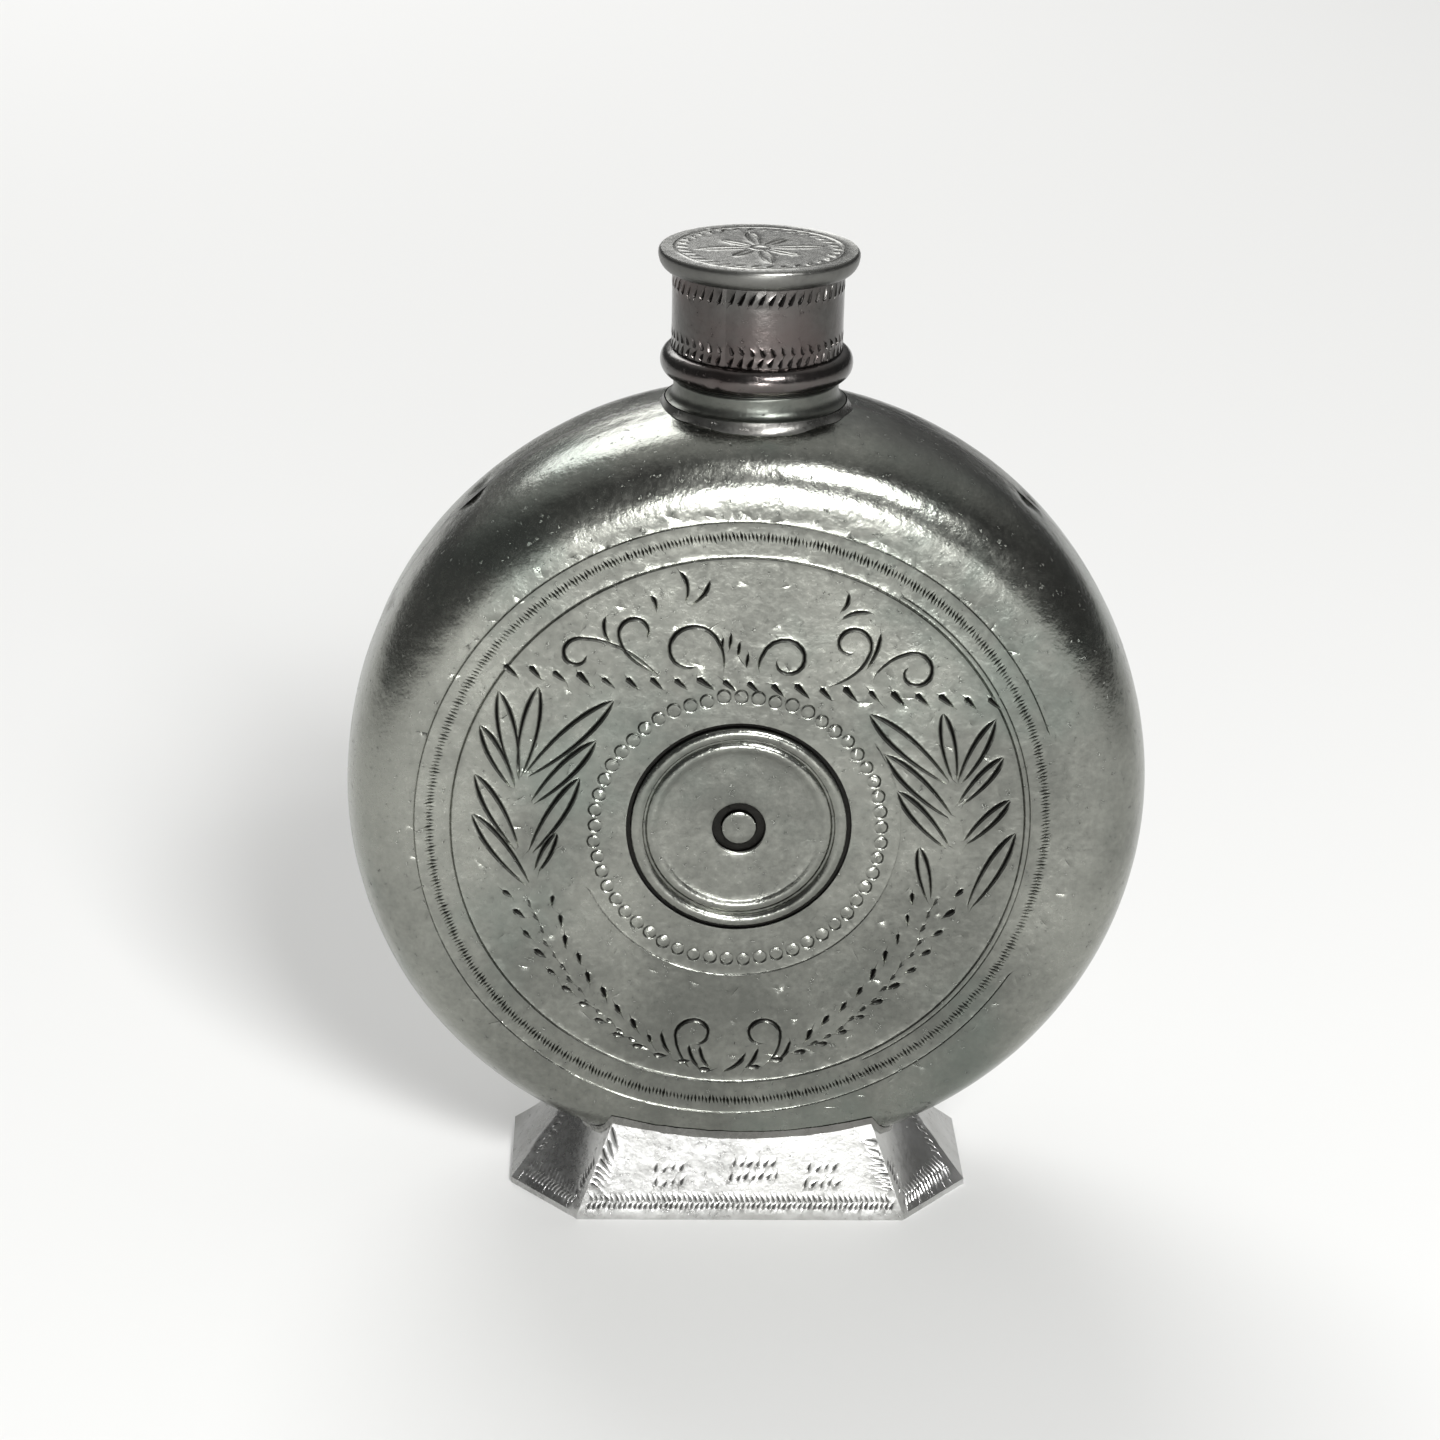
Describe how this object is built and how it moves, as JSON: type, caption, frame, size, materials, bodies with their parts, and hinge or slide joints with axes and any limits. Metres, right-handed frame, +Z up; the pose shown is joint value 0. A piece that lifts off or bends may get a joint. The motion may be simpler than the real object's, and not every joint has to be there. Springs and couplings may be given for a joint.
{
  "type": "pilgrim flask",
  "caption": "Round flat-bodied pewter pilgrim flask with a short threaded neck, a flanged screw cap and a hollow eight-sided foot.",
  "frame": {"origin": "middle of the foot's underside, on the ground", "axes": "+Z up along the neck and the screw axis, +Y from the engraved front face to the back, +X to the right of the engraved front face"},
  "size_m": [0.115, 0.0394, 0.1412],
  "materials": {
    "pewter": "worn and pitted pewter, dull sheen",
    "cap_pewter": "darker worn pewter, dull sheen",
    "foot_pewter": "worn pewter, brighter where rubbed",
    "solder": "dull tin solder",
    "washer_leather": "old oiled leather"
  },
  "bodies": {
    "flask": {"front_shell": "pewter", "rear_shell": "pewter", "rim_solder": "solder", "front_medallion": "pewter", "rear_medallion": "pewter", "front_plug": "pewter", "rear_plug": "pewter", "neck_tube": "pewter", "neck_thread": "pewter", "neck_collar": "pewter", "neck_solder": "solder", "foot_skirt": "foot_pewter", "foot_solder": "solder"},
    "washer": {"cap_washer": "washer_leather"},
    "cap": {"cap_barrel": "cap_pewter", "cap_liner": "cap_pewter", "cap_thread": "cap_pewter", "cap_top_plate": "cap_pewter", "cap_bead_ring": "cap_pewter"}
  },
  "joints": [
    {"name": "cap_lift", "type": "slide", "parent": "flask", "child": "washer", "axis": [0, 0, 1], "range_m": [0, 0.016]},
    {"name": "cap_turn", "type": "hinge", "parent": "washer", "child": "cap", "pos_m": [0, 0, 0.13], "axis": [0, 0, 1], "range_deg": [0, 1440]}
  ],
  "couplings": [
    {"joint": "cap_lift", "follows": "cap_turn", "m_per_rad": 0.00063662}
  ]
}
